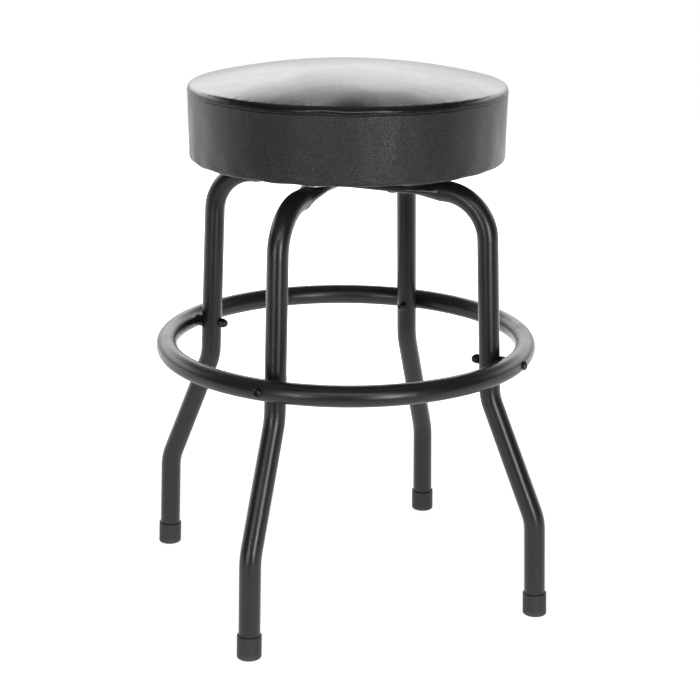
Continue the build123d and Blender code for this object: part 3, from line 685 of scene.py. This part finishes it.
listed = {name for names in SLOTS.values() for name in names}
print("nodes without a material:", sorted(set(nodes) - listed))

# %% [markdown]
# ## Cushion sizes
# The cushion is a band round a board with a domed top. Its outline could be read off the plain
# solids, but a few named sizes give smooth curves at any number of points. They are the
# engineering model's own sizes, so the seat stays as large as it is there.

# %% Seat sizes
SEAT_RADIUS = 177 * MM
BAND_FOOT_RADIUS = 176 * MM
BAND_FOOT = 509.1 * MM
BOARD_TOP = 522.2 * MM
SEAM = 584.1 * MM
CROWN_TOP = 612.1 * MM
SHOULDER = 6 * MM
WELT = 1.2 * MM
VINYL = 1.1 * MM
FOOT_ROUND = 3 * MM
HEM_INNER = 152.6 * MM
FOAM_SPLIT = 570.1 * MM
AROUND = 600                     # points in each ring
ANGLES = np.linspace(0, 2 * math.pi, AROUND, endpoint=False)
FRONT = -math.pi / 2 - TURN      # heading of the side that faces the camera
print(f"seat {2 * SEAT_RADIUS:.3f} m across, cushion {CROWN_TOP - BAND_FOOT:.4f} m high")

# %% [markdown]
# ## Outlines
# Two outlines describe the cover: down the dome from the axis to the seam, and down the side,
# round the foot and in along the hem. The dome could be a single arc, but pulled vinyl bends more
# sharply over the foam's edge, so a wide arc runs smoothly into a small shoulder arc. An inset
# moves an outline inward, which gives the inside of the vinyl and the face of the foam.

# %% Outlines
DOME_POINTS = 84
BAND_POINTS = 44
FOOT_POINTS = 8
HEM_POINTS = 14


def dome_profile(count, inset=0.0, drop=0.0):
    """Radius and height down the dome from the axis to the seam: a wide arc, then the shoulder."""
    centre_r, centre_z = SEAT_RADIUS - SHOULDER, SEAM + WELT
    rise = CROWN_TOP - drop - centre_z
    wide = (centre_r ** 2 + rise ** 2 - SHOULDER ** 2) / (2 * (rise - SHOULDER))
    low = centre_z + rise - wide
    turn = math.atan2(centre_z - low, centre_r)
    small = max(8, count // 8)
    first = np.linspace(math.pi / 2, turn, count - small, endpoint=False)
    second = np.linspace(turn, 0, small)
    radius = np.concatenate([(wide - inset) * np.cos(first),
                             centre_r + (SHOULDER - inset) * np.cos(second)])
    height = np.concatenate([low + (wide - inset) * np.sin(first),
                             centre_z + (SHOULDER - inset) * np.sin(second)])
    return radius, height


def band_profile(count, inset=0.0):
    """Radius and height down the side, round the foot and in along the hem."""
    top = np.linspace(SEAM - WELT, BAND_FOOT + FOOT_ROUND, count)
    share = (top - top[-1]) / (top[0] - top[-1])
    side = BAND_FOOT_RADIUS + (SEAT_RADIUS - BAND_FOOT_RADIUS) * share - inset
    turn = np.linspace(0, math.pi / 2, FOOT_POINTS)[1:]
    round_r = BAND_FOOT_RADIUS - FOOT_ROUND + (FOOT_ROUND - inset) * np.cos(turn)
    round_z = BAND_FOOT + FOOT_ROUND - (FOOT_ROUND - inset) * np.sin(turn)
    hem = np.linspace(round_r[-1], HEM_INNER, HEM_POINTS + 1)[1:]
    hem_z = np.full(HEM_POINTS, BAND_FOOT + inset)
    return np.concatenate([side, round_r, hem]), np.concatenate([top, round_z, hem_z])


widest = max(dome_profile(DOME_POINTS)[0].max(), band_profile(BAND_POINTS)[0].max())
print(f"outlines reach {widest:.4f} m from the axis")

# %% [markdown]
# ## Turned meshes
# Everything on the cushion is nearly round, so each piece is turned about Z. The Screw modifier
# could turn a plain profile, but here a row may wave as it goes round, so each mesh is built from
# rows of radii and heights by angle. Points that meet on the axis are merged.

# %% Turned mesh helper
def turned(name, rows, loop=True):
    """A mesh turned about Z from rows of radii and heights. A loop joins last row to first."""
    points = np.empty((len(rows), AROUND, 3))
    for index, (radius, height) in enumerate(rows):
        points[index, :, 0] = radius * np.cos(ANGLES)
        points[index, :, 1] = radius * np.sin(ANGLES)
        points[index, :, 2] = height
    here = np.arange(AROUND)
    after = np.roll(here, -1)
    pairs = [(i, i + 1) for i in range(len(rows) - 1)] + ([(len(rows) - 1, 0)] if loop else [])
    faces = [
        np.stack([a * AROUND + here, a * AROUND + after, b * AROUND + after, b * AROUND + here], 1)
        for a, b in pairs]
    mesh = bpy.data.meshes.new(name)
    mesh.from_pydata(points.reshape(-1, 3).tolist(), [], np.concatenate(faces).tolist())
    work = bmesh.new()
    work.from_mesh(mesh)
    bmesh.ops.remove_doubles(work, verts=work.verts, dist=1e-6)
    bmesh.ops.recalc_face_normals(work, faces=work.faces)
    work.to_mesh(mesh)
    work.free()
    mesh.shade_smooth()
    made = bpy.data.objects.new(name, mesh)
    bpy.context.scene.collection.objects.link(made)
    return made


print("points in each ring:", AROUND)

# %% [markdown]
# ## A blank to blow up
# Padded vinyl looks as it does because foam pushes it out between its seams. So the cover is first
# made as a closed blank of cloth, a little low in the crown. Its turned mesh has slivers near the
# axis, which cloth handles badly, so it is remeshed into even squares. The points along the seam
# and under the board are put in a vertex group that stays held.

# %% A blank to blow up
CROWN_SLACK = 3 * MM
BLANK_DOME_POINTS = 40
BLANK_BAND_POINTS = 16
VOXEL = 5 * MM
SEAM_GRIP = 4 * MM               # half the height of the strip held at the seam
SEAM_GRIP_DEPTH = 7 * MM
FOOT_GRIP = 6 * MM


def make_blank():
    """A closed blank with the seat's outline, held at the seam and underneath."""
    dome_r, dome_z = dome_profile(BLANK_DOME_POINTS, drop=CROWN_SLACK)
    side_r, side_z = band_profile(BLANK_BAND_POINTS)
    rows = [*zip(dome_r, dome_z), *zip(side_r, side_z), (0, BAND_FOOT)]
    blank = turned("blank", rows, loop=False)
    remesh = blank.modifiers.new("remesh", "REMESH")
    remesh.mode = "VOXEL"
    remesh.voxel_size = VOXEL
    bpy.context.view_layer.objects.active = blank
    bpy.ops.object.modifier_apply(modifier="remesh")
    held = blank.vertex_groups.new(name="held")
    for vertex in blank.data.vertices:
        reach = math.hypot(vertex.co.x, vertex.co.y)
        on_seam = abs(vertex.co.z - SEAM) < SEAM_GRIP and reach > SEAT_RADIUS - SEAM_GRIP_DEPTH
        if on_seam or vertex.co.z < BAND_FOOT + FOOT_GRIP:
            held.add([vertex.index], 1.0, "REPLACE")
    return blank


BLANK = make_blank()
if BLANK:
    print(f"blank: {len(BLANK.data.vertices)} points of cloth")

# %% [markdown]
# ## Blow it up
# Air pressure inside the blank stands for the foam and pushes the free cloth out. Cloth pressed
# against a soft body of foam would be truer, but it takes far longer to run. The result is
# applied, subdivided once, and turned into a tree that rays can be cast against.

# %% Blow it up
CLOTH_FRAMES = 20
PRESSURE = 4
GROWTH = 0.003                   # the cloth is this share larger than the blank


def blow_up(blank):
    """Run the cloth and give the result as a tree for casting rays against."""
    cloth = blank.modifiers.new("cloth", "CLOTH")
    cloth.settings.quality = 6
    cloth.settings.mass = 0.25
    cloth.settings.tension_stiffness = 25
    cloth.settings.compression_stiffness = 25
    cloth.settings.bending_stiffness = 0.4
    cloth.settings.shrink_min = -GROWTH
    cloth.settings.use_pressure = True
    cloth.settings.uniform_pressure_force = PRESSURE
    cloth.settings.effector_weights.gravity = 0
    cloth.settings.vertex_group_mass = "held"
    cloth.collision_settings.use_collision = False
    cloth.point_cache.frame_start = 1
    cloth.point_cache.frame_end = CLOTH_FRAMES
    for step in range(1, CLOTH_FRAMES + 1):
        bpy.context.scene.frame_set(step)
    bpy.ops.object.modifier_apply(modifier="cloth")
    bpy.context.scene.frame_set(1)
    finer = blank.modifiers.new("finer", "SUBSURF")
    finer.levels = 1
    bpy.ops.object.modifier_apply(modifier="finer")
    tree = BVHTree.FromObject(blank, bpy.context.evaluated_depsgraph_get())
    box = [round(size, 4) for size in blank.dimensions]
    print(f"blown cover: {len(blank.data.vertices)} points, box {box}")
    bpy.data.objects.remove(blank)
    return tree


BLOWN = blow_up(BLANK) if BLANK else None
print("cloth frames run:", CLOTH_FRAMES if BLOWN else 0)

# %% [markdown]
# ## Measure the blown cloth
# The blown cloth could be the cover itself, but its even swell would take the seat past its size.
# So rays cast out from the outline find how far the cloth stands off it. Each ring's mean is taken
# off, the rest is smoothed and limited, and what is left is a slight unevenness for the sewn
# pieces.

# %% Measure the blown cloth
RAY_START = 12 * MM              # inside the outline
BLUR_PASSES = 14
TOP_LIMIT = 0.25 * MM
BAND_LIMIT = 1.2 * MM


def offsets(tree, radius, height, cap):
    """How far the blown cover stands off an outline, by point and angle, less its even swell."""
    out_r, out_z = np.gradient(height), -np.gradient(radius)
    length = np.hypot(out_r, out_z)
    flip = -1.0 if (out_z[0] < 0 and radius[0] < radius[-1]) or out_r[len(out_r) // 2] < 0 else 1.0
    out_r, out_z = flip * out_r / length, flip * out_z / length
    found = np.zeros((len(radius), AROUND))
    for i in range(len(radius)):
        for j, angle in enumerate(ANGLES):
            way = Vector((out_r[i] * math.cos(angle), out_r[i] * math.sin(angle), out_z[i]))
            spot = Vector((radius[i] * math.cos(angle), radius[i] * math.sin(angle), height[i]))
            hit = tree.ray_cast(spot - way * RAY_START, way, 3 * RAY_START)
            if hit[0] is not None:
                found[i, j] = hit[3] - RAY_START
    found -= found.mean(axis=1, keepdims=True)
    for _ in range(BLUR_PASSES):
        found = (np.roll(found, 1, 1) + found + np.roll(found, -1, 1)) / 3
        found[1:-1] = (found[:-2] + found[1:-1] + found[2:]) / 3
    return np.clip(found, -cap, cap)


COVER_OFFSET = None if BLOWN is None else offsets(BLOWN, *dome_profile(DOME_POINTS), TOP_LIMIT)
BAND_OFFSET = None if BLOWN is None else offsets(BLOWN, *band_profile(BAND_POINTS), BAND_LIMIT)
for part, offset in (("top", COVER_OFFSET), ("band", BAND_OFFSET)):
    if offset is not None:
        print(f"{part}: up to {1000 * np.abs(offset).max():.2f} mm of the cloth's offset is kept")

# %% [markdown]
# ## Waves and puckers
# Hand sewing is never quite even. The seam wanders up and down a little, most of all at the front.
# Beside it the cloth gathers in short puckers, and along the foot it pulls up towards every
# staple. The cloth run is too coarse for these, so they are waves round the seat. Each is a sum of
# whole frequencies, so it closes on itself, and the seeded draws come out the same each time.

# %% Waves and puckers
CHANCE = np.random.default_rng(7)
FRONT_SWAY = 1.2 * MM
SEAM_SWAY = 0.45 * MM
FOOT_SWAY = 0.5 * MM
STAPLES = 28
FRONT_SHIFT = math.radians(1)    # from the front to the seam's lowest point there
FRONT_PERIOD = math.radians(24)
FRONT_SPREAD = math.radians(17)


def ripple(low, high):
    """A wave round the seat, made of every whole frequency in a range, peaking at one."""
    counts = np.arange(low, high)
    sizes = CHANCE.normal(size=len(counts))
    starts = CHANCE.uniform(0, 2 * math.pi, len(counts))
    wave = (sizes[:, None] * np.sin(counts[:, None] * ANGLES + starts[:, None])).sum(axis=0)
    return wave / np.abs(wave).max()


FROM_FRONT = (ANGLES - FRONT + math.pi) % (2 * math.pi) - math.pi
FRONT_WAVE = -np.cos(2 * math.pi * (FROM_FRONT - FRONT_SHIFT) / FRONT_PERIOD)
FRONT_WAVE = FRONT_WAVE * np.exp(-(FROM_FRONT / FRONT_SPREAD) ** 2)
SEAM_WAVE = FRONT_SWAY * FRONT_WAVE + SEAM_SWAY * ripple(3, 18)
PUCKER = ripple(55, 130)
SLOW = ripple(8, 34)
FOOT_WAVE = FOOT_SWAY * ripple(4, 22)
STAPLE_PULL = np.cos(STAPLES * ANGLES)
print(f"the seam wanders {1000 * SEAM_WAVE.min():.2f} to {1000 * SEAM_WAVE.max():.2f} mm")

# %% [markdown]
# ## Top cover
# The top panel is one round of vinyl, sewn to the band along its rim. It could be a single surface
# with a Solidify modifier. Both of its faces are made from the outline instead, because the foam
# below needs the same outline, only moved further in. The cloth's own unevenness fades towards the
# seam, where the puckers take over.

# %% Top cover
TOP_PUCKER = 0.25 * MM
TOP_SLOW = 0.08 * MM
CLOTH_FADE = 80 * MM             # from the seam to where the cloth run counts in full
PUCKER_FADE = 7 * MM
SLOW_FADE = 32 * MM
LIFT_FADE = 14 * MM
SIDEWAYS = 0.3                   # share of an offset that also goes outward at the rim


def cover_rows(inset, blown):
    """Rows of the dome from its middle to the seam, with the cloth's offset and the puckers."""
    radius, height = dome_profile(DOME_POINTS, inset)
    along = np.concatenate([[0], np.cumsum(np.hypot(np.diff(radius), np.diff(height)))])
    back = along[-1] - along
    offset = np.zeros((DOME_POINTS, AROUND))
    if blown is not None:
        offset = blown * np.clip(back / CLOTH_FADE, 0, 1)[:, None] ** 2
    near = np.exp(-back / PUCKER_FADE) * np.clip(back / (1.5 * MM), 0, 1)
    far = np.exp(-(back / SLOW_FADE) ** 2) * np.clip(back / (6 * MM), 0, 1)
    offset = offset + TOP_PUCKER * near[:, None] * PUCKER + TOP_SLOW * far[:, None] * SLOW
    lift = np.exp(-back / LIFT_FADE)[:, None] * SEAM_WAVE
    return [(radius[i] + offset[i] * radius[i] / SEAT_RADIUS * SIDEWAYS,
             height[i] + offset[i] + lift[i])
            for i in range(DOME_POINTS)]


outer = cover_rows(0, COVER_OFFSET)
inner = cover_rows(VINYL, COVER_OFFSET)
top_cover = turned("top_cover_sewn", outer + inner[::-1], loop=False)
print("top cover:", len(top_cover.data.polygons), "faces")

# %% [markdown]
# ## Side band
# The band is a strip of vinyl, sewn to the top panel above and stapled under the board below. A
# Curve modifier could wrap a flat strip, but the puckers, the staple pull and the pleats of the
# hem all depend on the place along its outline. So its rows are turned too: down the outside,
# round the foot, in along the hem, and back on the inside.

# %% Side band
BAND_PUCKER = 0.28 * MM
BAND_SLOW = 0.5 * MM
STAPLE_DENT = 0.35 * MM
STAPLE_LIFT = 0.25 * MM
HEM_PLEAT = 0.35 * MM
SEAM_REACH = 9 * MM              # how far down the band the seam's waves go
FOOT_REACH = 9 * MM
PLEAT_START = 8 * MM             # from the foot's edge to where the pleats are full


def band_rows(inset, blown):
    """Rows of the band from the seam down, round the foot and in along the hem."""
    radius, height = band_profile(BAND_POINTS, inset)
    total = len(radius)
    down = SEAM - height
    near = np.exp(-down / SEAM_REACH)
    side = np.clip((height - BAND_FOOT) / (FOOT_ROUND * 2), 0, 1)
    low = np.exp(-((height - BAND_FOOT) / FOOT_REACH) ** 2)
    swell = np.sin(math.pi * np.clip((height - BAND_FOOT) / (SEAM - BAND_FOOT), 0, 1))
    reach = np.zeros((total, AROUND)) if blown is None else blown.copy()
    reach *= (side * (1 - near))[:, None]
    reach += (BAND_PUCKER * near * side)[:, None] * PUCKER + (BAND_SLOW * swell)[:, None] * SLOW
    reach += (STAPLE_DENT * low * side)[:, None] * STAPLE_PULL
    on_hem = (radius < BAND_FOOT_RADIUS - FOOT_ROUND) & (height < BAND_FOOT + FOOT_ROUND)
    pleat = np.clip((BAND_FOOT_RADIUS - radius) / PLEAT_START, 0, 1) * on_hem
    sag = -(HEM_PLEAT * pleat)[:, None] * (1 + PUCKER)
    lift = near[:, None] * SEAM_WAVE
    foot = (low * np.clip(1 - pleat, 0, 1))[:, None] * (FOOT_WAVE + STAPLE_LIFT * STAPLE_PULL)
    return [(radius[i] + reach[i], height[i] + lift[i] + sag[i] + foot[i]) for i in range(total)]


outer = band_rows(0, BAND_OFFSET)
inner = band_rows(VINYL, BAND_OFFSET)
side_band = turned("side_band_sewn", outer + inner[::-1])
print("side band:", len(side_band.data.polygons), "faces")

# %% [markdown]
# ## Welt
# The welt is a thin round edging caught in the seam. A curve with a bevel would give an even tube.
# The real one thins wherever the thread pulls it, so its thickness waves as it goes round, and its
# middle follows the same seam line as the two panels.

# %% Welt
WELT_SIDES = 14
WELT_UNEVEN = 0.1
around_tube = np.linspace(0, 2 * math.pi, WELT_SIDES, endpoint=False)
thickness = WELT * (1 + WELT_UNEVEN * ripple(90, 200))
welt = turned("welt_sewn", [
    (SEAT_RADIUS - WELT / 2 + thickness * math.cos(turn),
     SEAM + SEAM_WAVE + thickness * math.sin(turn))
    for turn in around_tube])
print("welt:", len(welt.data.polygons), "faces")

# %% [markdown]
# ## Foam layers
# Under the cover lie a soft domed layer and a firmer slab. They could stay plain solids, but the
# sewn cover waves and would cut through them. The domed layer takes its top from the cover's own
# rows, moved in by the vinyl and a thin gap, so the two never cross.

# %% Foam layers
FOAM_GAP = VINYL + 0.4 * MM
FOAM_EDGE = BAND_FOOT_RADIUS - 2.2 * MM
BOARD_CLEARANCE = 0.1 * MM


def foam_block(name, cad_node, rows):
    """One layer of foam that stands in for the plain one."""
    block = turned(name, rows, loop=False)
    block.data.materials.append(FINISH["foam"])
    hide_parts(cad_node)
    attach(block, "seat")


dome = [(np.minimum(r, FOAM_EDGE), z) for r, z in cover_rows(FOAM_GAP, COVER_OFFSET)]
slab_foot = BOARD_TOP + BOARD_CLEARANCE
foam_block("crown_foam_soft", "crown_foam", [*dome, (FOAM_EDGE, FOAM_SPLIT), (0, FOAM_SPLIT)])
foam_block("base_foam_soft", "base_foam", [
    (0, FOAM_SPLIT), (FOAM_EDGE, FOAM_SPLIT), (FOAM_EDGE, slab_foot), (0, slab_foot)])
print(f"foam: {1000 * (FOAM_SPLIT - slab_foot):.1f} mm slab under the domed layer")

# %% [markdown]
# ## Put the cover on
# Each sewn piece stands in for its plain solid and turns with the seat. The three could be joined
# into one mesh, but they are separate pieces of vinyl on a real seat, so they stay apart. Only the
# top gets the taut vinyl, since it is pulled tight over the foam; the band and the welt get the
# loose one.

# %% Put the cover on
for piece, cad_node in (
        (top_cover, "seat_top_cover"), (side_band, "seat_side_band"), (welt, "seat_welt")):
    piece.data.materials.append(TAUT if piece == top_cover else FINISH["seat_vinyl"])
    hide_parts(cad_node)
    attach(piece, "seat")
